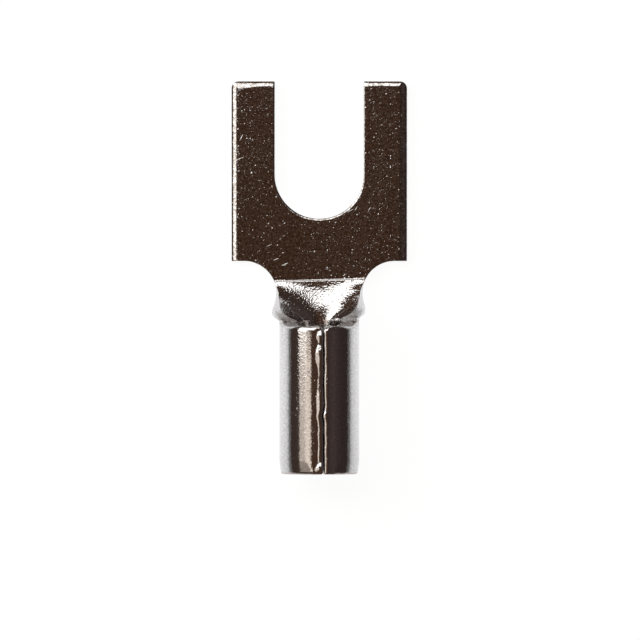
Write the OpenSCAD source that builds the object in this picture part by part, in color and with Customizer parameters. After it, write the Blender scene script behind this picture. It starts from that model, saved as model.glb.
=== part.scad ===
// Bare fork terminal, stamped from one piece of sheet and rolled to a barrel with a butted seam.
// Millimetres. The origin is the centre of the slot's round end, on the underside of the tongue.
// X runs across the tines, Y from the barrel to the tine tips, Z up to the seam.

/* [Tongue] */
// Width across the two tines
tongue_w = 8.3; // [7.2:0.1:10.5]
// Length from the tine tips to the square shoulders
tongue_len = 8.5; // [7.8:0.1:11]
// Thickness of the coined tongue
tongue_t = 0.68; // [0.5:0.02:0.8]
// Radius of the outer corners of the tine tips
tip_r = 0.34; // [0.1:0.02:0.7]
// Width of the rounding along the top of the sides
roll_w = 0.4; // [0.1:0.02:0.5]
// Slope of that rounding where it reaches the cut side, in degrees
roll_slope = 39; // [25:1:55]
// Width of the rounding along the top of the tips
tip_roll_w = 0.28; // [0.1:0.02:0.5]
// Slope of that rounding where it reaches the cut tip, in degrees
tip_roll_slope = 27; // [15:1:55]

/* [Stud slot] */
// Width of the slot, with clearance on a number 8 stud
slot_w = 4.3; // [3.5:0.1:5.3]
// Depth of the slot from the tine tips to its round end
slot_depth = 6.54; // [5.2:0.02:7.6]

/* [Neck] */
// Width of the sheet between the side notches
neck_w = 4.06; // [3.4:0.02:4.8]
// Diameter of the round side notches, from the shoulders to the front of the barrel
notch_d = 3.06; // [2.6:0.02:4]
// Distance from the shoulders to the crease where the curl starts
crease_in = 0.88; // [0.6:0.02:1]
// Length over which the curl sets in behind the crease
curl_run = 0.42; // [0.2:0.02:0.8]
// Radius of the shallow trough at the crease, to the middle of the sheet
trough_r = 26; // [12:1:40]
// Length in front of the barrel that already has the barrel's curl
full_curl = 0.32; // [0.1:0.02:0.5]
// Height of the coined step at the crease
coin_step = 0.03; // [0.01:0.01:0.08]
// Rounding of the outer edges of the curled sheet
edge_r = 0.22; // [0.1:0.02:0.3]

/* [Wire barrel] */
// Outside diameter of the barrel
barrel_od = 3.78; // [3.4:0.02:4.6]
// Thickness of the barrel's wall
wall_t = 0.82; // [0.6:0.02:0.94]
// Length of the barrel
barrel_len = 6.98; // [5.5:0.02:9]
// Gap between the two butted edges
seam_gap = 0.06; // [0.02:0.01:0.12]
// Rounding of the two lips of the seam
lip_r = 0.2; // [0.1:0.02:0.34]
// Turn of the seam about the barrel's axis, in degrees
seam_turn = 3.4; // [-8:0.2:8]
// Rounded front corners of the two lips
lip_corner_r = 0.28; // [0.1:0.02:0.5]
// Length of the rounding on the barrel's front edge beside the seam
front_len = 0.2; // [0.1:0.02:0.4]
// Depth of that rounding on the radius
front_drop = 0.06; // [0.02:0.01:0.1]

/* [Wire entry] */
// Length of the slight taper before the mouth
entry_len = 0.62; // [0.5:0.02:1.2]
// Depth of that taper on the radius
entry_taper = 0.08; // [0.02:0.01:0.12]
// Rounding of the mouth's outer edge
mouth_r = 0.14; // [0.1:0.02:0.4]
// Bevel at the mouth's inner edge
mouth_bevel = 0.12; // [0.04:0.02:0.16]

/* [Serrations] */
// Number of ring grooves inside the barrel
groove_count = 3; // [1:1:4]
// Distance between the ring grooves
groove_pitch = 1.4; // [1:0.1:1.5]
// Width of a ring groove at the bore
groove_w = 0.44; // [0.2:0.02:0.7]
// Depth of a ring groove
groove_depth = 0.09; // [0.04:0.01:0.16]

/* [Hidden] */

// Places along the terminal
tip_y = slot_depth - slot_w / 2;
shoulder_y = tip_y - tongue_len;
crease_y = shoulder_y - crease_in;
barrel_y = shoulder_y - notch_d;
full_curl_y = barrel_y + full_curl;

// Round side notches
notch_r = notch_d / 2;
notch_x = neck_w / 2 + notch_r;
notch_y = shoulder_y - notch_r;

// Radii of the barrel
outer_r = barrel_od / 2;
bore_r = outer_r - wall_t;
mid_r = outer_r - wall_t / 2;
wing_half = PI * mid_r - seam_gap / 2;

// Strips of sheet across the neck, and sections where its curl sets in, tightens and keeps the barrel's radius
strips = 24;
curl_steps = 8;
tighten_steps = 18;
tube_steps = 7;
// The neck's roots reach this far into the tongue and the barrel's wall, and lie this far under their faces
root_len = 0.3;
root_inset = 0.012;
// Rows of the rounded edge, as parts of its radius
edge_rows = [0.62, 0.32, 0.12, 0.02];
// The sheet starts to thicken at the first part of the way to the barrel, and does so over the second part
thick_from_ratio = 0.12;
thick_over_ratio = 0.58;
// Rows of the rounding on the barrel's front edge, as parts of its length and of its depth
front_rows = [[0, 1], [0.16, 0.5], [0.55, 0.14], [1.25, -0.14]];
// Least half angle beside the seam over which the barrel's front edge is free
least_free_angle = 10;
// Sides of large and small circles, and steps of the rounded sections
round_sides = 96;
corner_sides = 48;
section_steps = 6;
// Room that cutters pass beyond what they cut
past = 1;
// Colour of the tin plate
tin = [0.74, 0.72, 0.69];
// Height above the barrel's face at which the lips' rounding would end
lip_run = 0.008;

function clamp01(a) = min(1, max(0, a));
function ease(a) = clamp01(a) * clamp01(a) * (3 - 2 * clamp01(a));

// Part of the way from the crease to the full curl
function along(v) = (crease_y - v) / (crease_y - full_curl_y);
// How far the curl has set in
function curl(v) = ease((crease_y - v) / curl_run);
// Curvature of the middle of the sheet: the trough tightens by equal ratios from the crease to the barrel
function bend(v) = curl(v) / (trough_r * (mid_r / trough_r) ^ clamp01(along(v)));
// Thickness: a small step at the crease, then a gentle rise to the full sheet
function thick(v) =
    tongue_t
    + coin_step * clamp01((crease_y - v) / (2 * coin_step))
    + (wall_t - tongue_t - coin_step) * ease((along(v) - thick_from_ratio) / thick_over_ratio);

// Half width of the flat sheet between the notches
function half_w(v) = min(wing_half, notch_x - sqrt(max(0, notch_r ^ 2 - (v - notch_y) ^ 2)));
// Distance of a point of the flat sheet from the notch
function edge_d(u, v) = norm([abs(u) - notch_x, v - notch_y]) - notch_r;
// Lift of the underside along the rounded edge
function edge_lift(d, r) = d >= r ? 0 : r - sqrt(max(0, r ^ 2 - (r - max(0, d)) ^ 2));

// A point of the flat sheet, u across and h above the underside, after the curl
function curled(u, h, v) =
    let (k = bend(v), t = thick(v))
    k < 0.001 ? [u, v, h]
    : let (a = k * u * 180 / PI, r = 1 / k + t / 2 - h) [r * sin(a), v, 1 / k + t / 2 - r * cos(a)];

// Places across the sheet, close together along the rounded edges
function across(w) = concat(
    [-w],
    [for (i = [len(edge_rows) - 1:-1:0]) -w + edge_r * edge_rows[i]],
    [for (i = [0:strips]) (w - edge_r) * (2 * i / strips - 1)],
    [for (i = [0:len(edge_rows) - 1]) w - edge_r * edge_rows[i]],
    [w]
);

// One section of the neck: the underside from left to right, then the top face back
function neck_ring(v, inset, y) =
    let (us = across(half_w(v) - inset), n = len(us), r = edge_r * curl(v))
    [for (p = concat(
        [for (i = [0:n - 1]) curled(us[i], max(inset, edge_lift(edge_d(us[i], v), r)), v)],
        [for (i = [n - 1:-1:0]) curled(us[i], thick(v) - inset, v)]
    )) [p[0], y, p[2]]];

// The neck's sections, from behind the crease past the middle of the notch to the barrel
full_curl_angle = asin((notch_y - full_curl_y) / notch_r);
neck_places = concat(
    [crease_y - 2 * coin_step],
    [for (i = [1:curl_steps]) crease_y + (notch_y - crease_y) * i / curl_steps],
    [for (i = [1:tighten_steps]) notch_y + (full_curl_y - notch_y) * i / tighten_steps],
    [for (i = [1:tube_steps - 1])
        notch_y - notch_r * sin(full_curl_angle + (90 - full_curl_angle) * i / tube_steps)]
);

// Two triangles of a ring's end face, from a strip of the underside to the top face over it
function end_pair(first, i, n) = [
    [first + i, first + i + 1, first + n - 1 - i],
    [first + i + 1, first + n - 2 - i, first + n - 1 - i]
];

// Two triangles of a strip between a ring and the next one, split the same way on both sides of the middle
function side_pair(first, i, n) =
    let (a = first + i, b = first + (i + 1) % n, c = a + n, d = b + n)
    i % (n / 2) < n / 4 - 0.5 || i == n - 1 ? [[a, c, b], [c, d, b]] : [[a, c, d], [a, d, b]];

module neck() {
    rings = concat(
        [neck_ring(crease_y, root_inset, crease_y + root_len)],
        [neck_ring(crease_y, root_inset, crease_y)],
        [for (v = neck_places) neck_ring(v, 0, v)],
        [neck_ring(barrel_y, root_inset, barrel_y)],
        [neck_ring(barrel_y, root_inset, barrel_y - root_len)]
    );
    n = len(rings[0]);
    last = len(rings) - 1;
    polyhedron(
        points = [for (ring = rings) each ring],
        faces = concat(
            [for (i = [0:n / 2 - 2]) each end_pair(0, i, n)],
            [for (k = [0:last - 1], i = [0:n - 1]) each side_pair(k * n, i, n)],
            [for (i = [0:n / 2 - 2], f = end_pair(last * n, i, n)) [f[2], f[1], f[0]]]
        ),
        convexity = 10
    );
}

// Section of what a rounding takes off an edge that stands at x = 0 with its top at y = 0
module roll_section(width, slope) {
    r = width / sin(slope);
    polygon(concat(
        [for (i = [0:section_steps]) let (a = slope * i / section_steps)
            [-width + r * sin(a), -r * (1 - cos(a))]],
        [[past, -r * (1 - cos(slope))], [past, past], [-width, past]]
    ));
}

// Outline of the flat tongue down to the crease
module tongue_outline() {
    difference() {
        union() {
            translate([-tongue_w / 2, shoulder_y])
                square([tongue_w, tongue_len - tip_r]);
            translate([-tongue_w / 2 + tip_r, shoulder_y])
                square([tongue_w - 2 * tip_r, tongue_len]);
            for (s = [-1, 1])
                translate([s * (tongue_w / 2 - tip_r), tip_y - tip_r])
                    circle(r = tip_r, $fn = corner_sides);
            translate([-notch_x, crease_y])
                square([2 * notch_x, crease_in + tip_r]);
        }
        circle(r = slot_w / 2, $fn = round_sides);
        translate([-slot_w / 2, 0])
            square([slot_w, tip_y + past]);
        for (s = [-1, 1])
            translate([s * notch_x, notch_y])
                circle(r = notch_r, $fn = round_sides);
    }
}

module tongue() {
    difference() {
        linear_extrude(height = tongue_t) tongue_outline();
        // Rounded top edges of both sides, which end at the square shoulders
        for (s = [0, 1])
            mirror([s, 0, 0])
                translate([tongue_w / 2, tip_y + past, tongue_t])
                    rotate([90, 0, 0])
                        linear_extrude(height = tongue_len + past) roll_section(roll_w, roll_slope);
        // Rounded top edges of the tips
        translate([-tongue_w / 2 - past, tip_y, tongue_t])
            rotate([90, 0, 90])
                linear_extrude(height = tongue_w + 2 * past) roll_section(tip_roll_w, tip_roll_slope);
    }
}

// Wall of the barrel from its front to its mouth, as radius and length
module wall_section() {
    first = (barrel_len - (groove_count - 1) * groove_pitch) / 2;
    mouth_top = outer_r - entry_taper;
    polygon(concat(
        [[outer_r, 0], [outer_r, barrel_len - entry_len]],
        [for (i = [0:section_steps]) let (a = 90 * i / section_steps)
            [mouth_top - mouth_r + mouth_r * cos(a), barrel_len - mouth_r + mouth_r * sin(a)]],
        [[bore_r + mouth_bevel, barrel_len], [bore_r, barrel_len - mouth_bevel]],
        [for (k = [groove_count - 1:-1:0]) let (c = first + k * groove_pitch) each [
            [bore_r, c + groove_w / 2],
            [bore_r + groove_depth, c + groove_w / 4],
            [bore_r + groove_depth, c - groove_w / 4],
            [bore_r, c - groove_w / 2]
        ]],
        [[bore_r, 0]]
    ));
}

// Section of the seam: a narrow gap that opens between two rounded lips
module seam_section() {
    c_x = seam_gap / 2 + lip_r;
    // The rounding runs out a little above the barrel's face, so it meets the face at a soft edge
    c_r = outer_r - lip_r + lip_run;
    c_y = sqrt(c_r ^ 2 - c_x ^ 2);
    reach = 90 + asin(c_x / c_r);
    lip = [for (i = [0:section_steps]) let (a = reach * i / section_steps)
        [-c_x + lip_r * cos(a), c_y + lip_r * sin(a)]];
    top = outer_r + past;
    polygon(concat(
        [[-seam_gap / 2, 0]],
        lip,
        [[lip[section_steps][0], top], [-lip[section_steps][0], top]],
        [for (i = [section_steps:-1:0]) [-lip[i][0], lip[i][1]]],
        [[seam_gap / 2, 0]]
    ));
}

// What the rounded front corners of the lips leave open, seen from above the seam
module lip_corner_section() {
    c_x = seam_gap / 2 + lip_corner_r;
    difference() {
        translate([-c_x, -lip_corner_r])
            square([2 * c_x, lip_corner_r + past]);
        for (s = [-1, 1])
            translate([s * c_x, -lip_corner_r])
                circle(r = lip_corner_r, $fn = corner_sides);
    }
}

// What the rounding takes off the barrel's front edge, as radius and length
module front_section() {
    rows = [for (f = front_rows) [outer_r - f[1] * front_drop, f[0] * front_len]];
    polygon(concat(
        [[rows[0][0], -past]],
        rows,
        [[outer_r + past, rows[len(rows) - 1][1]], [outer_r + past, -past]]
    ));
}

module barrel() {
    // The front edge is free over this half angle on both sides of the seam
    free_angle = max(least_free_angle, 180 - notch_x / mid_r * 180 / PI);
    translate([0, barrel_y, outer_r])
        rotate([0, seam_turn, 0])
            difference() {
                rotate([90, 0, 0])
                    rotate_extrude($fn = round_sides) wall_section();
                translate([0, past, 0])
                    rotate([90, 0, 0])
                        linear_extrude(height = barrel_len + 2 * past) seam_section();
                linear_extrude(height = outer_r + past) lip_corner_section();
                rotate([90, 0, 0])
                    rotate([0, 0, 90 - free_angle])
                        rotate_extrude(angle = 2 * free_angle, $fn = round_sides) front_section();
            }
}

module fork_terminal() {
    color(tin)
        union() {
            tongue();
            neck();
            barrel();
        }
}

fork_terminal();
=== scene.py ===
"""Bare fork terminal: a flat blank of tin-plated copper, rolled up to a barrel by a Geometry Nodes rule."""
from __future__ import annotations

import logging
import math
from dataclasses import dataclass, field, replace
from enum import Enum
from typing import Any

import bpy
import numpy as np
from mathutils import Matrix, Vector
from mathutils.geometry import delaunay_2d_cdt


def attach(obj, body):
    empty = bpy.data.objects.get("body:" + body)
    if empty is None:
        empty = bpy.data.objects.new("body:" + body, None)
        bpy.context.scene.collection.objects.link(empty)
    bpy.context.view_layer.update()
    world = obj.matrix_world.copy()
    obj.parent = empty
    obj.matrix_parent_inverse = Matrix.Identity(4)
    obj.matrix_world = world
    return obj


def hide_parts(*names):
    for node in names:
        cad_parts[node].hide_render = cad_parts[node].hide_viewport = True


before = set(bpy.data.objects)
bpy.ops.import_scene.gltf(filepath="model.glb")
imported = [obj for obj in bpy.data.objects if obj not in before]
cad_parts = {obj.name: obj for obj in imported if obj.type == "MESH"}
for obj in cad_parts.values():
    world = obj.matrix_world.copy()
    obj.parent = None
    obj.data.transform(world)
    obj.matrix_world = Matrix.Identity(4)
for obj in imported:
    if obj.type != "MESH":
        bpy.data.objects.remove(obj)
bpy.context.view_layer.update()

MM = 0.001
MICRON = 1e-6
TINY = 1e-6
OUT_OF_REACH = 99.0
MATH = "ShaderNodeMath"
MIX = "ShaderNodeMix"
NOISE = "ShaderNodeTexNoise"
RANGE = "ShaderNodeMapRange"
VECTOR = "ShaderNodeVectorMath"
VORONOI = "ShaderNodeTexVoronoi"
Array = np.ndarray
Socket = bpy.types.NodeSocket
Tree = bpy.types.NodeTree

log = logging.getLogger("fork_terminal")


class Face(Enum):
    """The two faces of the sheet: the upper one becomes the inside of the barrel."""

    UPPER = "upper"
    LOWER = "lower"


def linear(hex_colour: str) -> tuple[float, float, float, float]:
    """Turn an sRGB colour into linear light.

    Args:
        hex_colour: Six hex digits, with or without a leading hash.

    Returns:
        Red, green and blue in linear light, and an alpha of one.
    """
    digits = hex_colour.lstrip("#")
    values = [int(digits[i:i + 2], 16) / 255 for i in (0, 2, 4)]
    red, green, blue = [v / 12.92 if v <= 0.04045 else ((v + 0.055) / 1.055) ** 2.4 for v in values]
    return red, green, blue, 1.0


def add_node(tree: Tree, kind: str, links: dict[Any, Any] | None = None, **settings: Any) -> bpy.types.Node:
    """Add one node with its settings, its socket values and the links into it.

    Args:
        tree: The node tree that gets the node.
        kind: The node's type name.
        links: Values or output sockets for the node's inputs, by input name or number.
        settings: Properties of the node itself.

    Returns:
        The new node.
    """
    node = tree.nodes.new(kind)
    for name, value in settings.items():
        setattr(node, name, value)
    for key, value in (links or {}).items():
        if isinstance(value, Socket):
            tree.links.new(value, node.inputs[key])
        else:
            node.inputs[key].default_value = value
    return node


def ease(a: Array) -> Array:
    """Smooth step from 0 to 1."""
    b = np.clip(a, 0.0, 1.0)
    return b * b * (3 - 2 * b)


def quarter_round(d: Array, r: Array | float) -> Array:
    """Depth of a rounded edge at distance d from the cut, for a rounding of radius r."""
    rest = np.clip(r - d, 0.0, r)
    return r - np.sqrt(np.maximum(0.0, np.square(r) - np.square(rest)))


def roll_over(d: Array, width: Array | float, radius: Array | float) -> Array:
    """Depth of a rolled-over edge at distance d from the cut, for a roll of one width and radius."""
    into = np.clip(width - d, 0.0, width)
    return radius - np.sqrt(radius ** 2 - into ** 2)


def soft_floor(a: Array, blend: float) -> Array:
    """The part of a number above zero, with a gentle start."""
    return (a + np.sqrt(np.square(a) + blend ** 2)) / 2


@dataclass(frozen=True)
class Run:
    """One straight or round stretch of the blank's outline, walked with the metal on its left."""

    start: tuple[float, float]
    end: tuple[float, float] = (0.0, 0.0)
    radius: float = 0.0
    angles: tuple[float, float] = (0.0, 0.0)
    step: float = 0.1
    fewest: int = 4

    def samples(self) -> tuple[Array, Array]:
        """Walk the stretch at its step, without its last point.

        Returns:
            The points, and at each point the direction into the metal.
        """
        if self.radius == 0.0:
            a, b = np.array(self.start), np.array(self.end)
            along = b - a
            length = float(np.hypot(*along))
            count = max(1, round(length / self.step))
            points = a + along * (np.arange(count) / count)[:, None]
            inward = np.tile(np.array([-along[1], along[0]]) / length, (count, 1))
            return points, inward
        first, last = (math.radians(a) for a in self.angles)
        count = max(self.fewest, round(abs(last - first) * self.radius / self.step))
        turn = first + (last - first) * np.arange(count) / count
        spoke = np.stack([np.cos(turn), np.sin(turn)], axis=1)
        points = np.array(self.start) + self.radius * spoke
        return points, spoke * (-1.0 if last > first else 1.0)

    def mirrored(self) -> Run:
        """The same stretch on the other side of the blank, walked backwards."""
        x, y = self.start
        if self.radius == 0.0:
            return replace(self, start=(-self.end[0], self.end[1]), end=(-x, y))
        first, last = self.angles
        return replace(self, start=(-x, y), angles=(180 - last, 180 - first))


@dataclass(frozen=True)
class Weave:
    """How close the points of the blank's mesh stand, in millimetres."""

    # Steps along the outline
    side: float = 0.12
    mouth: float = 0.08
    bend: float = 0.06
    round_end: float = 0.03
    mouth_corner: float = 0.02
    small_corner: float = 0.01
    lip_parts: int = 60

    # Rows beside the outline, and rows round the cut wall by shares of its height and of the fracture
    rows_in: tuple[float, ...] = (
        0.006, 0.018, 0.034, 0.06, 0.085, 0.11, 0.135, 0.155, 0.175, 0.195, 0.215, 0.235, 0.255, 0.275,
        0.295, 0.34, 0.385, 0.43, 0.48,
    )
    row_slack: float = 0.002
    wall_rows: tuple[tuple[float, float], ...] = ((0.3, 1.0), (0.55, 0.8), (0.7, 0.0))

    # Least distances between points, which may be smaller on the rim and the first rows beside it
    least_gap: float = 0.009
    rim_gap: float = 0.0045
    rim_rows: int = 3
    weld: float = 1e-7

    # Rows inside the blank: where they start, how close they stand and how far they keep off the edges
    half_width: float = 5.0
    off_rows: float = 0.04
    crease_rows: tuple[float, ...] = (0.05, 0.02, 0.0, -0.015, -0.03, -0.045, -0.06, -0.08)
    crease_across: float = 0.1
    crease_off: float = 0.008
    neck_from: float = 0.2
    neck_to: float = 0.01
    neck_rows: float = 0.06
    neck_across: float = 0.09
    barrel_from: float = 0.04
    barrel_rows: float = 0.15
    barrel_across: float = 0.08
    groove_off: float = 0.05
    groove_rows: tuple[float, ...] = (0.56, 0.5, 0.44, 0.37, 0.31, 0.25, 0.19, 0.0)
    tongue_from: float = 0.3
    tongue_rows: float = 0.5
    tongue_off: float = 0.1


@dataclass(frozen=True)
class Wear:
    """Where the sheet is cut, strained and pitted: lengths in millimetres, and shares of one."""

    rim_share: float = 0.5
    mouth_share: float = 1.5
    mouth_reach: float = 0.14
    mouth_fade: float = 0.1
    strain_ahead: float = 0.06
    strain_rise: float = 0.12
    strain_off: float = 0.05
    strain_fade: float = 0.5
    calm_share: float = 0.65
    calm_ahead: float = 0.3
    calm_fade: float = 0.6


@dataclass
class Blank:
    """The flat blank as it leaves the press: u across, v along, in millimetres and degrees."""

    # Tongue and slot
    tongue_w: float = 8.3
    tongue_len: float = 8.5
    tongue_t: float = 0.68
    tip_r: float = 0.34
    roll_w: float = 0.405
    roll_r: float = 0.646
    tip_roll_w: float = 0.245
    tip_roll_r: float = 0.5
    left_tip_grows: tuple[float, float] = (1.05, 1.7)
    rim_r: float = 0.02
    slot_w: float = 4.3
    slot_in: float = 0.045
    slot_roll_w: float = 0.1
    slot_roll_r: float = 0.2
    slot_depth: float = 6.54

    # Neck, crease and the start of the curl
    neck_w: float = 4.06
    notch_d: float = 3.06
    crease_in: float = 0.88
    crease_slant: float = 0.028
    curl_run: float = 0.55
    full_curl: float = 0.32
    coin_step: float = 0.03
    coin_run: float = 0.06
    thick_from: float = 0.12
    thick_over: float = 0.68
    edge_r: float = 0.22

    # Barrel, seam and lips
    barrel_od: float = 3.78
    wall_t: float = 0.82
    barrel_len: float = 6.98
    seam_gap: float = 0.03
    seam_turn: float = 6.4
    lip_roll_w: float = 0.2
    lip_roll_r: float = 0.3
    raised_w: float = 0.175
    raised_h: float = 0.028
    raised_slope: float = 0.37
    raised_blend: tuple[float, float] = (0.04, 0.008)
    raised_edge_r: float = 0.08
    swells: tuple[tuple[float, float, float], ...] = (
        (-7.65, 0.18, 0.03), (-8.57, 0.42, 0.038), (-10.7, 0.55, 0.026), (-13.85, 0.18, 0.036),
    )
    swell_power: float = 4.0
    raised_from: tuple[float, float] = (0.15, 0.3)
    lip_corner_r: float = 0.28
    lip_wave: float = 0.014
    lip_waves: tuple[tuple[float, float, float], ...] = ((1.0, 2.1, 0.6), (0.6, 5.3, 1.7))
    lip_calm: float = 0.8
    lip_dent: tuple[float, float, float] = (-11.4, 0.04, 0.18)

    # Curled front, wire entry and bore
    front_len: float = 0.25
    front_drop: float = 0.06
    front_edge_r: float = 0.12
    front_from_lip: tuple[float, float] = (0.15, 0.45)
    front_blend: float = 0.5
    entry_len: float = 0.62
    entry_slope: float = 0.13
    entry_from_lip: tuple[float, float] = (0.34, 0.66)
    mouth_r: float = 0.12
    mouth_bevel: float = 0.12
    groove_count: int = 3
    groove_pitch: float = 1.4
    groove_w: float = 0.44
    groove_depth: float = 0.09

    # Small edges and corners
    sharp_r: float = 0.03
    lower_edge_r: float = 0.021
    corner_r: float = 0.04
    mouth_corner_r: float = 0.1
    fracture_in: float = 0.012

    # How the mesh is woven and worn
    weave: Weave = Weave()
    wear: Wear = Wear()

    def __post_init__(self) -> None:
        """Work out the places along the terminal and the radii of the barrel."""
        self.tip_y = self.slot_depth - self.slot_w / 2
        self.shoulder_y = self.tip_y - self.tongue_len
        self.crease_y = self.shoulder_y - self.crease_in
        self.barrel_y = self.shoulder_y - self.notch_d
        self.end_y = self.barrel_y - self.barrel_len
        self.neck_end_y = self.barrel_y + self.full_curl
        self.slot_half = self.slot_w / 2 - self.slot_in
        self.notch_r = self.notch_d / 2
        self.notch_x = self.neck_w / 2 + self.notch_r
        self.notch_y = self.shoulder_y - self.notch_r
        self.mid_r = (self.barrel_od - self.wall_t) / 2
        self.outer_stretch = self.barrel_od / 2 / self.mid_r
        self.seam_shift = self.mid_r * math.radians(self.seam_turn)
        self.wing_half = math.pi * self.mid_r - self.seam_gap / 2

    def lip_u(self, side: int, v: Array | float) -> Array:
        """Place of a wing's edge, which wanders a little as a sheared and rolled edge does.

        Args:
            side: 1 for the right wing, -1 for the left one.
            v: Places along the terminal.

        Returns:
            The edge's place across the blank.
        """
        v = np.asarray(v, float)
        back = self.barrel_y - self.lip_corner_r - v
        wave = sum(size * np.sin(pace * back + lag * side) for size, pace, lag in self.lip_waves)
        wander = np.abs(self.lip_wave * wave * ease(back / self.lip_calm))
        middle, depth, reach = self.lip_dent
        wander = wander - side * depth * np.exp(-np.square((v - middle) / reach))
        return side * (self.wing_half - side * self.seam_shift - wander)

    def distances(self, u: Array, v: Array) -> dict[str, Array]:
        """Distances of points of the blank from its cut edges.

        Args:
            u: Places across the blank.
            v: Places along the blank.

        Returns:
            The distances, by the kind of edge; a large number where an edge is out of reach.
        """
        far = OUT_OF_REACH
        aside = np.abs(u)
        on_tongue = v >= self.shoulder_y - TINY
        on_wings = v <= self.barrel_y + TINY
        from_side = self.tongue_w / 2 - aside
        from_tip = self.tip_y - v
        corner = self.tip_r - np.hypot(self.tip_r - from_side, self.tip_r - from_tip)
        in_corner = (from_side < self.tip_r) & (from_tip < self.tip_r)
        rim = np.where(in_corner, corner, np.minimum(from_side, from_tip))
        slot = np.where(v > 0, aside, np.hypot(u, v)) - self.slot_half
        gap = np.hypot(np.maximum(0.0, self.notch_x - aside), v - self.notch_y) - self.notch_r
        lips = []
        for side in (-1, 1):
            lip = side * (self.lip_u(side, v) - u)
            front = self.barrel_y - v
            r = self.lip_corner_r
            bend = r - np.hypot(r - lip, r - front)
            lips.append(np.where(on_wings, np.where((lip < r) & (front < r), bend, lip), far))
        return {
            "side": np.where(on_tongue, from_side, far),
            "tip": np.where(on_tongue, from_tip, far),
            "rim": np.where(on_tongue, rim, far),
            "slot": slot,
            "gap": gap,
            "left": lips[0],
            "right": lips[1],
            "mouth": v - self.end_y,
        }

    def clear(self, u: Array, v: Array) -> Array:
        """Distance of points of the blank from the nearest cut edge."""
        d = self.distances(u, v)
        return np.min([d[k] for k in ("rim", "slot", "gap", "left", "right", "mouth")], axis=0)

    def behind(self, u: Array, v: Array) -> Array:
        """How far points lie behind the crease, which runs a little askew."""
        return self.crease_y - v + self.crease_slant * np.clip(u, -self.neck_w, self.neck_w)

    def sheet(self, u: Array, v: Array) -> Array:
        """Thickness of the sheet: a coined step at the crease, then a gentle rise to the full sheet."""
        behind = self.behind(u, v)
        step = self.coin_step * ease(behind / self.coin_run)
        way = behind / (self.crease_y - self.neck_end_y)
        rise = self.wall_t - self.tongue_t - self.coin_step
        return self.tongue_t + step + rise * ease((way - self.thick_from) / self.thick_over)

    def groove_places(self) -> list[float]:
        """Middles of the ring grooves that bite into the wire."""
        middle = self.barrel_y - self.barrel_len / 2
        half_count = (self.groove_count - 1) / 2
        return [middle + self.groove_pitch * (k - half_count) for k in range(self.groove_count)]

    def height(self, face: Face, u: Array, v: Array) -> Array:
        """Height of a face of the blank, with its rolled and rounded edges.

        Args:
            face: The upper or the lower face.
            u: Places across the blank.
            v: Places along the blank.

        Returns:
            Heights above the plane of the lower face.
        """
        d = self.distances(u, v)
        if face is Face.UPPER:
            return self.sheet(u, v) - self.upper_drop(d, u, v)
        return self.lower_lift(d, u, v)

    def upper_drop(self, d: dict[str, Array], u: Array, v: Array) -> Array:
        """What the upper face loses along its edges and in the ring grooves.

        Args:
            d: Distances from the cut edges.
            u: Places across the blank.
            v: Places along the blank.

        Returns:
            Depths below the plain upper face.
        """
        outward = np.clip((-u - self.slot_half) / (self.tongue_w / 2 - self.slot_half), 0.0, 1.0)
        tip_w, tip_r = (
            size * (1 + grows * np.square(outward))
            for size, grows in zip((self.tip_roll_w, self.tip_roll_r), self.left_tip_grows)
        )
        rolls = [
            roll_over(d["side"], self.roll_w, self.roll_r),
            roll_over(d["tip"], tip_w, tip_r),
            roll_over(d["slot"], self.slot_roll_w, self.slot_roll_r),
        ]
        roll = np.sqrt(np.sum(np.square(rolls), axis=0))
        parts = [quarter_round(d[k], self.sharp_r) for k in ("gap", "left", "right")]
        parts += [quarter_round(d[k], self.rim_r) for k in ("slot", "rim")]
        bevel = np.clip(self.mouth_bevel - d["mouth"], 0.0, None)
        groove = np.zeros_like(v)
        for middle in self.groove_places():
            inside = self.groove_w / 2 - np.abs(v - middle)
            groove = np.maximum(groove, self.groove_depth * ease(inside / (self.groove_w / 4)))
        return roll + np.sqrt(np.sum(np.square(parts), axis=0)) + bevel + groove

    def lower_lift(self, d: dict[str, Array], u: Array, v: Array) -> Array:
        """What the lower face, the outside of the barrel, loses along its edges.

        Args:
            d: Distances from the cut edges.
            u: Places across the blank.
            v: Places along the blank.

        Returns:
            Heights above the plane of the plain lower face.
        """
        curl = ease(self.behind(u, v) / self.curl_run)
        neck_r = np.maximum(self.lower_edge_r, self.edge_r * curl)
        neck = quarter_round(d["gap"], neck_r)
        from_lip = np.minimum(d["left"], d["right"])
        near, off = self.front_from_lip
        dished = self.front_drop * ease((from_lip - near) / (off - near))
        front = dished * np.square(np.clip(1 - d["gap"] / self.front_len, 0.0, 1.0))
        front = np.hypot(front, quarter_round(d["gap"], self.front_edge_r))
        past_notch = np.abs(u) - self.notch_x + self.front_blend / 2
        on_front = ease(past_notch / self.front_blend) * (v < self.notch_y)
        near, off = self.entry_from_lip
        beside = np.clip((from_lip - near) / (off - near), 0.0, 1.0)
        entry = self.entry_slope * np.clip(self.entry_len * beside - d["mouth"], 0.0, None)
        left, right = (d[k] * self.outer_stretch for k in ("left", "right"))
        parts = [
            quarter_round(d["rim"], self.lower_edge_r),
            quarter_round(d["slot"], self.lower_edge_r),
            neck * (1 - on_front) + front * on_front,
            quarter_round(left, self.raised_edge_r),
            roll_over(right, self.lip_roll_w, self.lip_roll_r),
            quarter_round(right, self.rim_r),
            quarter_round(d["mouth"], self.mouth_r) + entry,
        ]
        return np.sqrt(np.sum(np.square(parts), axis=0)) - self.raised_lip(left, v)

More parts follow.
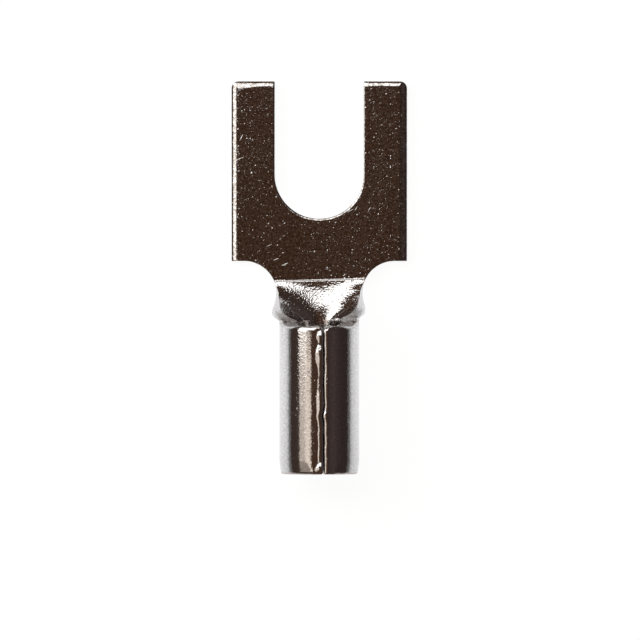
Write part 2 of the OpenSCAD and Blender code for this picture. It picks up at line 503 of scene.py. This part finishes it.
    def raised_lip(self, d: Array, v: Array) -> Array:
        """How far the left lip stands proud of the barrel, more at some places along the seam.

        Args:
            d: Distances from the lip's edge.
            v: Places along the blank.

        Returns:
            Heights above the plain outside of the barrel.
        """
        proud = np.full_like(v, self.raised_h)
        for middle, reach, more in self.swells:
            proud = proud + more * np.exp(-np.power(np.abs(v - middle) / reach, self.swell_power))
        top, foot = self.raised_blend
        beyond = soft_floor(d - self.raised_w, top)
        begin, over = self.raised_from
        along = ease((self.barrel_y - v - begin) / over)
        return soft_floor(proud - self.raised_slope * beyond, foot) * along

    def outline(self) -> list[Run]:
        """The blank's outline, counter-clockwise from the left end of the mouth.

        Returns:
            The straight and round stretches in order.
        """
        c, m, rc, tip = self.corner_r, self.mouth_corner_r, self.lip_corner_r, self.tip_r
        half, slot, top, shoulder = self.tongue_w / 2, self.slot_half, self.tip_y, self.shoulder_y
        notch, front, low, weave = self.notch_x, self.barrel_y, self.end_y, self.weave
        left, right = (float(self.lip_u(s, low)) for s in (-1, 1))
        front_left, front_right = (float(self.lip_u(s, front)) for s in (-1, 1))
        prong = [
            Run((notch, self.notch_y), radius=self.notch_r, angles=(-90, -270), step=weave.bend),
            Run((notch, shoulder), (half - c, shoulder)),
            Run((half - c, shoulder + c), radius=c, angles=(-90, 0), step=weave.small_corner),
            Run((half, shoulder + c), (half, top - tip), step=weave.side),
            Run((half - tip, top - tip), radius=tip, angles=(0, 90), step=weave.round_end),
            Run((half - tip, top), (slot + c, top)),
            Run((slot + c, top - c), radius=c, angles=(90, 180), step=weave.small_corner),
            Run((slot, top - c), (slot, 0.0), step=weave.side),
        ]
        return [
            Run((left + m, low), (right - m, low), step=weave.mouth),
            Run((right - m, low + m), radius=m, angles=(-90, 0), step=weave.mouth_corner),
            *self.lip_runs(1, low + m, front - rc),
            Run((front_right - rc, front - rc), radius=rc, angles=(0, 90), step=weave.round_end),
            Run((front_right - rc, front), (notch, front), step=weave.bend),
            *prong,
            Run((0.0, 0.0), radius=slot, angles=(0, -180), step=weave.bend),
            *(run.mirrored() for run in reversed(prong)),
            Run((-notch, front), (front_left + rc, front), step=weave.bend),
            Run((front_left + rc, front - rc), radius=rc, angles=(90, 180), step=weave.round_end),
            *self.lip_runs(-1, front - rc, low + m),
            Run((left + m, low + m), radius=m, angles=(180, 270), step=weave.mouth_corner),
        ]

    def lip_runs(self, side: int, first: float, last: float) -> list[Run]:
        """A wing's wandering edge as short straight stretches.

        Args:
            side: 1 for the right wing, -1 for the left one.
            first: Place along the terminal where the walk starts.
            last: Place along the terminal where it ends.

        Returns:
            The stretches in order.
        """
        weave = self.weave
        count = weave.lip_parts
        places = [first + (last - first) * i / count for i in range(count + 1)]
        points = [(float(self.lip_u(side, v)), v) for v in places]
        return [Run(a, b, step=weave.side) for a, b in zip(points, points[1:])]

    def inner_places(self) -> Array:
        """Points inside the blank, close together where it is curled, creased or grooved.

        Returns:
            The points, one row each.
        """
        weave = self.weave
        deepest = weave.rows_in[-1] + weave.off_rows
        neck_start, neck_end = self.crease_y - weave.neck_from, self.barrel_y - weave.neck_to
        neck = np.arange(neck_start, neck_end, -weave.neck_rows)
        barrel = list(np.arange(self.barrel_y - weave.barrel_from, self.end_y, -weave.barrel_rows))
        off_groove = self.groove_w / 2 + weave.groove_off
        for middle in self.groove_places():
            barrel = [v for v in barrel if abs(v - middle) > off_groove]
            for part in weave.groove_rows:
                barrel += [middle + part * self.groove_w, middle - part * self.groove_w]
        tongue = np.arange(self.crease_y + weave.tongue_from, self.tip_y, weave.tongue_rows)
        plans = [
            (weave.crease_rows, weave.crease_across, weave.crease_off),
            (neck, weave.neck_across, deepest),
            (sorted(set(barrel)), weave.barrel_across, deepest),
            (tongue, weave.tongue_rows, deepest + weave.tongue_off),
        ]
        found = []
        for rows, spacing, margin in plans:
            across = np.arange(-weave.half_width, weave.half_width, spacing)
            u, v = np.meshgrid(across, np.array(rows))
            u, v = u.ravel(), v.ravel()
            if rows is weave.crease_rows:
                v = v + self.crease_y + self.crease_slant * u
            keep = self.clear(u, v) >= margin
            found.append(np.stack([u[keep], v[keep]], axis=1))
        return np.concatenate(found)

    def plan(self) -> tuple[Array, Array, Array]:
        """Cover the blank with triangles that follow its edges.

        Returns:
            The points, the triangles counter-clockwise, and each point's direction into the metal, which
            is zero away from the outline.
        """
        weave = self.weave
        walked = [run.samples() for run in self.outline()]
        rim = np.concatenate([w[0] for w in walked])
        inward = np.concatenate([w[1] for w in walked])
        rows = []
        for depth in weave.rows_in:
            row = rim + depth * inward
            rows.append(row[self.clear(row[:, 0], row[:, 1]) >= depth - weave.row_slack])
        spare = np.concatenate([*rows, self.inner_places()])
        points = [Vector(p) for p in rim]
        taken: dict[tuple[int, int], list[tuple[float, float]]] = {}
        for number, (u, v) in enumerate(np.concatenate([rim, spare])):
            cell = (math.floor(u / weave.least_gap), math.floor(v / weave.least_gap))
            around = [(cell[0] + i, cell[1] + j) for i in (-1, 0, 1) for j in (-1, 0, 1)]
            near = [q for other in around for q in taken.get(other, [])]
            limit = weave.rim_gap if number < weave.rim_rows * len(rim) else weave.least_gap
            if number >= len(rim):
                if any(math.hypot(u - q[0], v - q[1]) < limit for q in near):
                    continue
                points.append(Vector((u, v)))
            taken.setdefault(cell, []).append((u, v))
        ring = list(range(len(rim)))
        out, _, faces, origins, _, _ = delaunay_2d_cdt(points, [], [ring], 1, weave.weld)
        place = np.array([(p[0], p[1]) for p in out])
        into = np.zeros_like(place)
        for number, sources in enumerate(origins):
            on_rim = [s for s in sources if s < len(rim)]
            if on_rim:
                into[number] = inward[on_rim[0]]
        return place, np.array(faces), into

    def mesh(self, name: str) -> bpy.types.Mesh:
        """Make the flat blank as a closed mesh, in metres.

        Args:
            name: Name of the mesh.

        Returns:
            The mesh, with attributes for its cut edges, its strained neck and how pitted it is.
        """
        place, faces, into = self.plan()
        u, v = place[:, 0], place[:, 1]
        count = len(place)
        upper = self.height(Face.UPPER, u, v)
        lower = self.height(Face.LOWER, u, v)
        points = [np.stack([u, v, lower], axis=1), np.stack([u, v, upper], axis=1)]
        cut = [np.zeros(count), np.zeros(count)]
        edges = dict.fromkeys(e for a, b, c in faces.tolist() for e in ((a, b), (b, c), (c, a)))
        border = [e for e in edges if (e[1], e[0]) not in edges]
        rim = sorted({a for edge in border for a in edge})
        # The cut wall has rows of points between the two faces, with the fracture line set back a little
        layers = [dict(zip(rim, rim))]
        start = 2 * count
        for part, inset in self.weave.wall_rows:
            h = lower[rim] + (upper[rim] - lower[rim]) * part
            moved = place[rim] + into[rim] * inset * self.fracture_in
            points.append(np.column_stack([moved, h]))
            cut.append(np.ones(len(rim)))
            layers.append({a: start + i for i, a in enumerate(rim)})
            start += len(rim)
        layers.append({a: count + a for a in rim})
        for side in cut[:2]:
            side[rim] = self.wear.rim_share
        solid = [tuple(f + count) for f in faces] + [tuple(f[::-1]) for f in faces]
        for low, high in zip(layers, layers[1:]):
            solid += [(low[a], low[b], high[b], high[a]) for a, b in border]
        flat = np.concatenate(points)
        mesh = bpy.data.meshes.new(name)
        mesh.from_pydata((flat * MM).tolist(), [], [[int(i) for i in f] for f in solid])
        mesh.shade_smooth()
        for title, values in self.marks(flat, np.concatenate(cut)).items():
            layer = mesh.attributes.new(title, "FLOAT", "POINT")
            layer.data.foreach_set("value", values.astype(np.float32))
        mesh.validate()
        return mesh

    def marks(self, flat: Array, cut: Array) -> dict[str, Array]:
        """How far points are cut edge, strained neck or pitted face.

        Args:
            flat: Points of the flat blank.
            cut: One on the cut wall, a share at its two rims, and zero elsewhere.

        Returns:
            The three attributes that the finish reads, by name.
        """
        wear = self.wear
        u, v = flat[:, 0], flat[:, 1]
        at_mouth = ease((wear.mouth_reach - (v - self.end_y)) / wear.mouth_fade)
        strain = ease((self.behind(u, v) + wear.strain_ahead) / wear.strain_rise)
        strain = strain * ease((v - self.barrel_y - wear.strain_off) / wear.strain_fade)
        calm = ease((self.barrel_y + wear.calm_ahead - v) / wear.calm_fade)
        return {
            "cut_edge": np.maximum(cut, wear.mouth_share * at_mouth),
            "strain": strain,
            "pitted": 1 - wear.calm_share * calm,
        }


@dataclass
class RollUp:
    """The rolling tool as a Geometry Nodes rule.

    The sheet is flat at the crease, a trough that tightens by equal ratios along the neck, and a tube at
    the barrel.
    """

    blank: Blank
    trough_r: float = 26.0
    least_bend: float = 0.001
    name: str = "roll_up_the_blank"

    def sizes(self) -> dict[str, float]:
        """The tree's named inputs, in metres."""
        b = self.blank
        return {
            "Crease place": b.crease_y * MM,
            "Crease slant": b.crease_slant,
            "Neck width": b.neck_w * MM,
            "Curl run": b.curl_run * MM,
            "Neck end": b.neck_end_y * MM,
            "Thickening starts": b.thick_from,
            "Thickening ends": b.thick_from + b.thick_over,
            "Trough radius": self.trough_r * MM,
            "Barrel radius": b.mid_r * MM,
            "Tongue half thickness": b.tongue_t / 2 * MM,
            "Barrel half thickness": b.wall_t / 2 * MM,
        }

    def tree(self) -> Tree:
        """Build the node tree.

        Returns:
            A tree that bends the blank round its length, more and more from the crease to the barrel.
        """
        tree = bpy.data.node_groups.new(self.name, "GeometryNodeTree")
        tree.interface.new_socket("Geometry", in_out="INPUT", socket_type="NodeSocketGeometry")
        for title in self.sizes():
            tree.interface.new_socket(title, in_out="INPUT", socket_type="NodeSocketFloat")
        tree.interface.new_socket("Finish", in_out="INPUT", socket_type="NodeSocketMaterial")
        tree.interface.new_socket("Geometry", in_out="OUTPUT", socket_type="NodeSocketGeometry")
        given = add_node(tree, "NodeGroupInput").outputs
        place = add_node(tree, "GeometryNodeInputPosition")
        flat = add_node(tree, "ShaderNodeSeparateXYZ", {0: place.outputs[0]}).outputs

        low = add_node(tree, MATH, {0: given["Neck width"], 1: -1.0}, operation="MULTIPLY").outputs[0]
        aside = add_node(tree, MATH, {0: flat["X"], 1: given["Neck width"]}, operation="MINIMUM").outputs[0]
        aside = add_node(tree, MATH, {0: aside, 1: low}, operation="MAXIMUM").outputs[0]
        skew = add_node(tree, MATH, {0: aside, 1: given["Crease slant"]}, operation="MULTIPLY").outputs[0]
        line = add_node(tree, MATH, {0: given["Crease place"], 1: skew}, operation="ADD").outputs[0]
        behind = add_node(tree, MATH, {0: line, 1: flat["Y"]}, operation="SUBTRACT").outputs[0]
        neck = add_node(
            tree, MATH, {0: given["Crease place"], 1: given["Neck end"]}, operation="SUBTRACT"
        ).outputs[0]
        way = add_node(tree, MATH, {0: behind, 1: neck}, operation="DIVIDE", use_clamp=True).outputs[0]
        begun = add_node(tree, MATH, {0: behind, 1: given["Curl run"]}, operation="DIVIDE").outputs[0]
        onset = add_node(tree, RANGE, {"Value": begun}, interpolation_type="SMOOTHSTEP").outputs[0]
        half = add_node(
            tree, RANGE,
            {"Value": way, 1: given["Thickening starts"], 2: given["Thickening ends"],
             3: given["Tongue half thickness"], 4: given["Barrel half thickness"]},
            interpolation_type="SMOOTHSTEP",
        ).outputs[0]
        tighter = add_node(
            tree, MATH, {0: given["Barrel radius"], 1: given["Trough radius"]}, operation="DIVIDE"
        ).outputs[0]
        tighter = add_node(tree, MATH, {0: tighter, 1: way}, operation="POWER").outputs[0]
        radius = add_node(
            tree, MATH, {0: given["Trough radius"], 1: tighter}, operation="MULTIPLY"
        ).outputs[0]
        bend = add_node(tree, MATH, {0: onset, 1: radius}, operation="DIVIDE").outputs[0]
        bend = add_node(tree, MATH, {0: bend, 1: self.least_bend}, operation="MAXIMUM").outputs[0]
        turn = add_node(tree, MATH, {0: bend, 1: flat["X"]}, operation="MULTIPLY").outputs[0]
        half_turn = add_node(tree, MATH, {0: turn, 1: 0.5}, operation="MULTIPLY").outputs[0]
        sine = add_node(tree, MATH, {0: turn}, operation="SINE").outputs[0]
        half_sine = add_node(tree, MATH, {0: half_turn}, operation="SINE").outputs[0]
        square = add_node(tree, MATH, {0: half_sine, 1: half_sine}, operation="MULTIPLY").outputs[0]
        rise = add_node(tree, MATH, {0: square, 1: 2.0}, operation="MULTIPLY").outputs[0]
        inside = add_node(tree, MATH, {0: half, 1: flat["Z"]}, operation="SUBTRACT").outputs[0]
        reach = add_node(tree, MATH, {0: 1.0, 1: bend}, operation="DIVIDE").outputs[0]
        lever = add_node(tree, MATH, {0: reach, 1: inside}, operation="ADD").outputs[0]
        across = add_node(tree, MATH, {0: lever, 1: sine}, operation="MULTIPLY").outputs[0]
        lift = add_node(tree, MATH, {0: lever, 1: rise}, operation="MULTIPLY").outputs[0]
        up = add_node(tree, MATH, {0: flat["Z"], 1: lift}, operation="ADD").outputs[0]
        curled = add_node(tree, "ShaderNodeCombineXYZ", {"X": across, "Y": flat["Y"], "Z": up})
        moved = add_node(
            tree, "GeometryNodeSetPosition", {"Geometry": given[0], "Position": curled.outputs[0]}
        )
        real = add_node(tree, "GeometryNodeRealizeInstances", {0: moved.outputs[0]})
        dressed = add_node(
            tree, "GeometryNodeSetMaterial", {"Geometry": real.outputs[0], "Material": given["Finish"]}
        )
        add_node(tree, "NodeGroupOutput", {0: dressed.outputs[0]})
        return tree

    def apply(self, piece: bpy.types.Object, finish: bpy.types.Material) -> None:
        """Roll a flat blank up and leave a plain mesh.

        Args:
            piece: The object that holds the flat blank.
            finish: The material that the rule sets.
        """
        tree = self.tree()
        rule = piece.modifiers.new(self.name, "NODES")
        rule.node_group = tree
        values: dict[str, Any] = {**self.sizes(), "Finish": finish}
        for socket in tree.interface.items_tree:
            if socket.in_out == "INPUT" and socket.name in values:
                rule[socket.identifier] = values[socket.name]
        graph = bpy.context.evaluated_depsgraph_get()
        rolled = bpy.data.meshes.new_from_object(piece.evaluated_get(graph))
        piece.modifiers.remove(rule)
        piece.data = rolled


@dataclass(frozen=True)
class TinPlate:
    """Bright tin on copper sheet, electroplated and then stamped.

    The plate is a thin, soft, almost neutral mirror: it shows the room with ragged edges, broken by tiny
    pits that catch the lamps, by short scuffs from loose handling in a box, by a coarser skin where the
    neck was strained, and by a little copper that shows through on the cut edges. Real grain, pits and
    scuffs are too fine to show, so they are drawn coarser.
    """

    name: str = "bright_tin_plate_on_copper"
    clean: str = "DDDDDF"
    dull: str = "9C948C"
    copper: str = "B4714E"
    neck_mottle: float = 0.25
    mottle_span: tuple[float, float] = (0.36, 0.64)
    worn_from: float = 0.95
    cut_from: float = 0.5
    cut_roughness: float = 0.34

    # Noises by size in millimetres and detail, and their heights in micrometres
    cloud: tuple[float, float] = (1.6, 3.0)
    peel: tuple[float, float] = (0.6, 1.0)
    grain: tuple[float, float] = (0.1, 2.0)
    strain: tuple[float, float] = (0.075, 0.0)
    peel_um: float = 4.0
    grain_um: float = 4.5
    strain_um: float = 7.0

    # What the cloud does, from one span to another: roughness of the plate, and share of the pits' depth
    blur_range: tuple[float, ...] = (0.35, 0.65, 0.08, 0.11)
    patch_range: tuple[float, ...] = (0.38, 0.62, 0.4, 1.3)

    # Pits by spacing, rarity and depth, and scuffs by angle, place and rarity
    pits: tuple[tuple[float, float, float], ...] = (
        (0.2, 0.55, 74.0), (0.13, 0.38, 50.0), (0.085, 0.25, 29.0),
    )
    pit_reach: tuple[float, float] = (0.001, 0.32)
    pit_ragged_mm: float = 0.05
    scuffs: tuple[tuple[float, float, float], ...] = (
        (62.0, 0.0, 0.66), (24.0, 3.7, 0.8), (81.0, 7.1, 0.8),
    )
    scuff_reach: tuple[float, float] = (0.001, 0.09)
    scuff_mm: tuple[float, float] = (4.0, 0.5)
    scuff_um: float = 5.0

    def material(self) -> bpy.types.Material:
        """Build the material.

        Returns:
            The material, with its patterns in millimetres on Object coordinates.
        """
        material = bpy.data.materials.new(self.name)
        material.use_nodes = True
        tree = material.node_tree
        tree.nodes.clear()
        place = add_node(tree, "ShaderNodeTexCoord").outputs["Object"]
        spot = add_node(tree, VECTOR, {0: place, "Scale": 1 / MM}, operation="SCALE").outputs[0]
        cloud, peel, grain, rough = (
            add_node(tree, NOISE, {"Vector": spot, "Scale": 1 / size, "Detail": detail}).outputs[0]
            for size, detail in (self.cloud, self.peel, self.grain, self.strain)
        )
        strained, pitted, edge = (
            add_node(tree, "ShaderNodeAttribute", attribute_name=title).outputs["Fac"]
            for title in ("strain", "pitted", "cut_edge")
        )

        height = add_node(tree, MATH, {0: peel, 1: self.peel_um}, operation="MULTIPLY").outputs[0]
        skin = add_node(tree, MATH, {0: grain, 1: self.grain_um}, operation="MULTIPLY").outputs[0]
        height = add_node(tree, MATH, {0: height, 1: skin}, operation="ADD").outputs[0]
        swell = add_node(tree, MATH, {0: strained, 1: self.strain_um}, operation="MULTIPLY").outputs[0]
        swell = add_node(tree, MATH, {0: swell, 1: rough}, operation="MULTIPLY").outputs[0]
        height = add_node(tree, MATH, {0: height, 1: swell}, operation="ADD").outputs[0]
        patch = add_node(tree, RANGE, {"Value": cloud, **dict(enumerate(self.patch_range, 1))}).outputs[0]
        marked = add_node(tree, MATH, {0: pitted, 1: patch}, operation="MULTIPLY").outputs[0]
        height = self.sink_marks(tree, spot, height, marked, pitted)
        relief = add_node(tree, "ShaderNodeBump", {"Height": height, "Strength": 1.0, "Distance": MICRON})

        blur = add_node(tree, RANGE, {"Value": cloud, **dict(enumerate(self.blur_range, 1))}).outputs[0]
        blur = add_node(
            tree, RANGE, {"Value": edge, 1: self.cut_from, 2: 1.0, 3: blur, 4: self.cut_roughness}
        ).outputs[0]
        calm = add_node(tree, RANGE, {"Value": strained, 3: pitted, 4: self.neck_mottle}).outputs[0]
        low, high = self.mottle_span
        mottle = add_node(tree, RANGE, {"Value": grain, 1: low, 2: high, 3: 0.0, 4: calm}).outputs[0]
        toned = add_node(
            tree, MIX, {0: mottle, 6: linear(self.clean), 7: linear(self.dull)}, data_type="RGBA"
        )
        bare = add_node(tree, MATH, {0: edge, 1: self.worn_from}, operation="SUBTRACT").outputs[0]
        bare = add_node(tree, MATH, {0: bare, 1: grain}, operation="MULTIPLY", use_clamp=True).outputs[0]
        colour = add_node(
            tree, MIX, {0: bare, 6: toned.outputs[2], 7: linear(self.copper)}, data_type="RGBA"
        )
        shader = add_node(
            tree, "ShaderNodeBsdfPrincipled",
            {"Base Color": colour.outputs[2], "Metallic": 1.0, "Roughness": blur,
             "Normal": relief.outputs[0]},
        )
        add_node(tree, "ShaderNodeOutputMaterial", {"Surface": shader.outputs[0]})
        return material

    def sink_marks(
        self, tree: Tree, spot: Socket, height: Socket, marked: Socket, pitted: Socket
    ) -> Socket:
        """Sink ragged pits of a few sizes and short scuffs of a few directions into the plate.

        Args:
            tree: The material's node tree.
            spot: Places in millimetres.
            height: Heights of the plate in micrometres.
            marked: Shares of the pits' full depth.
            pitted: Shares of the scuffs' full depth.

        Returns:
            The heights with the marks.
        """
        ragged = add_node(
            tree, NOISE, {"Vector": spot, "Scale": 1 / self.pit_ragged_mm, "Detail": 0.0}
        ).outputs[1]
        shift = add_node(
            tree, VECTOR, {0: ragged, "Scale": self.pit_ragged_mm}, operation="SCALE"
        ).outputs[0]
        bent = add_node(tree, VECTOR, {0: spot, 1: shift}, operation="ADD").outputs[0]
        least, most = self.pit_reach
        for spacing, rare, depth in self.pits:
            cells = add_node(tree, VORONOI, {"Vector": bent, "Scale": 1 / spacing}).outputs
            chance = add_node(tree, "ShaderNodeSeparateColor", {0: cells["Color"]}).outputs
            reach = add_node(
                tree, RANGE, {"Value": chance[0], 1: rare, 2: 1.0, 3: least, 4: most}
            ).outputs[0]
            bowl = add_node(
                tree, RANGE, {"Value": cells["Distance"], 1: 0.0, 2: reach, 3: 1.0, 4: 0.0},
                interpolation_type="SMOOTHSTEP",
            ).outputs[0]
            pit = reach
            for share in (chance[1], depth, marked, bowl):
                pit = add_node(tree, MATH, {0: pit, 1: share}, operation="MULTIPLY").outputs[0]
            height = add_node(tree, MATH, {0: height, 1: pit}, operation="SUBTRACT").outputs[0]
        least, most = self.scuff_reach
        for angle, offset, rare in self.scuffs:
            turned = add_node(
                tree, "ShaderNodeMapping",
                {"Vector": spot, "Location": (offset, offset, 0.0),
                 "Rotation": (0.0, 0.0, math.radians(angle)), "Scale": (*self.scuff_mm, 1.0)},
                vector_type="TEXTURE",
            ).outputs[0]
            cells = add_node(
                tree, VORONOI, {"Vector": turned, "Scale": 1.0}, voronoi_dimensions="2D"
            ).outputs
            chance = add_node(tree, "ShaderNodeSeparateColor", {0: cells["Color"]}).outputs[0]
            reach = add_node(tree, RANGE, {"Value": chance, 1: rare, 2: 1.0, 3: least, 4: most}).outputs[0]
            groove = add_node(
                tree, RANGE, {"Value": cells["Distance"], 1: 0.0, 2: reach, 3: self.scuff_um, 4: 0.0},
                interpolation_type="SMOOTHSTEP",
            ).outputs[0]
            groove = add_node(tree, MATH, {0: groove, 1: pitted}, operation="MULTIPLY").outputs[0]
            height = add_node(tree, MATH, {0: height, 1: groove}, operation="SUBTRACT").outputs[0]
        return height


@dataclass
class ForkTerminal:
    """The whole terminal: one piece of sheet, stamped flat and rolled up."""

    blank: Blank = field(default_factory=Blank)
    finish: TinPlate = TinPlate()
    name: str = "rolled_fork_terminal"

    def build(self) -> bpy.types.Object:
        """Stamp the blank, roll it up and dress it.

        Returns:
            The finished piece, which stands for the solid of the frame.
        """
        piece = bpy.data.objects.new(self.name, self.blank.mesh(self.name + "_blank"))
        bpy.context.scene.collection.objects.link(piece)
        RollUp(self.blank).apply(piece, self.finish.material())
        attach(piece, "root")
        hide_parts("fork_terminal")
        log.info("%s: %d faces", piece.name, len(piece.data.polygons))
        return piece


@dataclass(frozen=True)
class Panel:
    """A soft lamp with a white front, and how it hangs, in degrees and millimetres."""

    name: str
    azimuth: float
    off_vertical: float
    distance: float
    size: tuple[float, float]
    glow: float
    tint: str
    faces: tuple[float, float, float] = (0.0, -5.0, 0.0)

    def hang(self) -> bpy.types.Object:
        """Hang the lamp so that it faces its place on the terminal.

        Returns:
            The lamp.
        """
        lamp = bpy.data.lights.new(self.name, "AREA")
        lamp.shape = "RECTANGLE"
        lamp.size, lamp.size_y = (s * MM for s in self.size)
        lamp.energy = self.glow * math.pi * lamp.size * lamp.size_y
        lamp.color = linear(self.tint)[:3]
        stand = bpy.data.objects.new(self.name, lamp)
        turn, lean = math.radians(self.azimuth), math.radians(self.off_vertical)
        away = Vector((math.sin(lean) * math.cos(turn), math.sin(lean) * math.sin(turn), math.cos(lean)))
        stand.location = (Vector(self.faces) + away * self.distance) * MM
        stand.rotation_euler = away.to_track_quat("Z", "Y").to_euler()
        bpy.context.scene.collection.objects.link(stand)
        log.info("lamp %s", self.name)
        return stand


@dataclass
class Studio:
    """White table, dark room above it, soft lamps, and a camera that looks straight down."""

    view_centre: tuple[float, float] = (0.033, -6.894)
    view_width: float = 30.24
    camera_height: float = 400.0
    focus_height: float = 0.68
    table_half: float = 1500.0
    table_drop: float = 0.01
    card_centre: tuple[float, float] = (-1.2, -8.0)
    card_reach: tuple[float, float] = (5.0, 26.0)
    card_glow: tuple[float, float] = (1.0, 0.11)
    card_tones: tuple[str, str] = ("E6E6E6", "707070")
    seen_glow: float = 0.95
    sensor: float = 36.0
    clip: tuple[float, float] = (0.01, 10.0)
    room: tuple[tuple[float, str], ...] = (
        (-0.98, "443731"), (-0.5, "4A3528"), (0.0, "4D3729"), (0.33, "3B2F2A"), (0.65, "4B3F3B"),
        (0.95, "382E2C"),
    )
    panels: tuple[Panel, ...] = (
        Panel("key", 90.0, 23.7, 250.0, (330.0, 122.8), 1.8, "FFFEFB", (-135.0, -5.0, 0.0)),
        Panel("left_white", 180.0, 48.5, 80.0, (23.0, 37.0), 1.8, "FFFBF4", (0.0, 4.5, 0.0)),
        Panel("left_warm", 180.0, 40.5, 80.0, (17.0, 49.0), 0.62, "FFF1E2", (0.0, -15.5, 0.0)),
        Panel("left_high", 180.0, 32.5, 80.0, (17.0, 21.0), 0.34, "FFF1E2", (0.0, -15.5, 0.0)),
        Panel("left_grey", 180.0, 40.5, 80.0, (17.0, 49.0), 0.32, "FFF1E2", (0.0, -32.5, 0.0)),
        Panel("fill", 147.0, 54.0, 250.0, (110.0, 110.0), 1.8, "FFFEFB"),
        Panel("back", 90.0, 72.0, 250.0, (240.0, 110.0), 0.7, "FFFEFB"),
    )

    def table(self) -> bpy.types.Object:
        """Lay the white table.

        Returns:
            The table.
        """
        half, drop = self.table_half * MM, -self.table_drop * MM
        mesh = bpy.data.meshes.new("table")
        corners = [(x * half, y * half, drop) for x, y in ((-1, -1), (1, -1), (1, 1), (-1, 1))]
        mesh.from_pydata(corners, [], [(0, 1, 2, 3)])
        top = bpy.data.objects.new("table", mesh)
        bpy.context.scene.collection.objects.link(top)
        material = bpy.data.materials.new("matt_white_card")
        material.use_nodes = True
        tree = material.node_tree
        tree.nodes.clear()
        rays = add_node(tree, "ShaderNodeLightPath").outputs
        seen = rays["Is Camera Ray"]
        for kind in ("Is Glossy Ray", "Is Transmission Ray"):
            seen = add_node(tree, MATH, {0: seen, 1: rays[kind]}, operation="ADD", use_clamp=True).outputs[0]
        # The card's bright part ends near the terminal, as its reflection on the barrel's sides shows
        spot = add_node(tree, "ShaderNodeTexCoord").outputs["Object"]
        middle = (self.card_centre[0] * MM, self.card_centre[1] * MM, 0.0)
        off = add_node(tree, VECTOR, {0: spot, 1: middle}, operation="DISTANCE").outputs[1]
        near, far = (r * MM for r in self.card_reach)
        high, low = self.card_glow
        bright = add_node(tree, RANGE, {"Value": off, 1: near, 2: far, 3: high, 4: low}).outputs[0]
        bright = add_node(
            tree, RANGE, {"Value": rays["Is Camera Ray"], 3: bright, 4: self.seen_glow}
        ).outputs[0]
        card, shade = (
            add_node(tree, "ShaderNodeBsdfDiffuse", {"Color": linear(tone)}) for tone in self.card_tones
        )
        glow = add_node(tree, "ShaderNodeEmission", {"Color": linear("FFFFFF"), "Strength": bright})
        white = add_node(tree, "ShaderNodeAddShader", {0: shade.outputs[0], 1: glow.outputs[0]})
        both = add_node(tree, "ShaderNodeMixShader", {0: seen, 1: card.outputs[0], 2: white.outputs[0]})
        add_node(tree, "ShaderNodeOutputMaterial", {"Surface": both.outputs[0]})
        mesh.materials.append(material)
        log.info("table")
        return top

    def world(self) -> None:
        """Make the room above the table dark and warm."""
        world = bpy.data.worlds.new("dim_room")
        world.use_nodes = True
        tree = world.node_tree
        tree.nodes.clear()
        way = add_node(tree, "ShaderNodeTexCoord").outputs["Generated"]
        aside = add_node(tree, "ShaderNodeSeparateXYZ", {0: way}).outputs["X"]
        share = add_node(tree, RANGE, {"Value": aside, 1: -1.0, 2: 1.0}).outputs[0]
        tone = add_node(tree, "ShaderNodeValToRGB", {0: share})
        stops = tone.color_ramp.elements
        first, *between, last = self.room
        for stop, (sideways, colour) in zip(stops, (first, last)):
            stop.position, stop.color = (sideways + 1) / 2, linear(colour)
        for sideways, colour in between:
            stops.new((sideways + 1) / 2).color = linear(colour)
        dim = add_node(tree, "ShaderNodeBackground", {"Color": tone.outputs[0], "Strength": 1.0})
        add_node(tree, "ShaderNodeOutputWorld", {"Surface": dim.outputs[0]})
        bpy.context.scene.world = world

    def camera(self) -> bpy.types.Object:
        """Put the camera straight above the terminal.

        Returns:
            The camera, set as the scene's own.
        """
        lens = bpy.data.cameras.new("camera")
        lens.sensor_width = self.sensor
        lens.lens = lens.sensor_width * (self.camera_height - self.focus_height) / self.view_width
        lens.clip_start, lens.clip_end = self.clip
        stand = bpy.data.objects.new("camera", lens)
        stand.location = (self.view_centre[0] * MM, self.view_centre[1] * MM, self.camera_height * MM)
        bpy.context.scene.collection.objects.link(stand)
        bpy.context.scene.camera = stand
        return stand

    def build(self) -> None:
        """Set up the table, the room, the lamps and the camera."""
        self.table()
        self.world()
        for panel in self.panels:
            panel.hang()
        self.camera()
        bpy.context.scene.view_settings.view_transform = "Standard"


def main() -> None:
    """Build the terminal and the studio."""
    logging.basicConfig(level=logging.INFO, format="%(name)s: %(message)s")
    ForkTerminal().build()
    Studio().build()


if __name__ == "__main__":
    main()
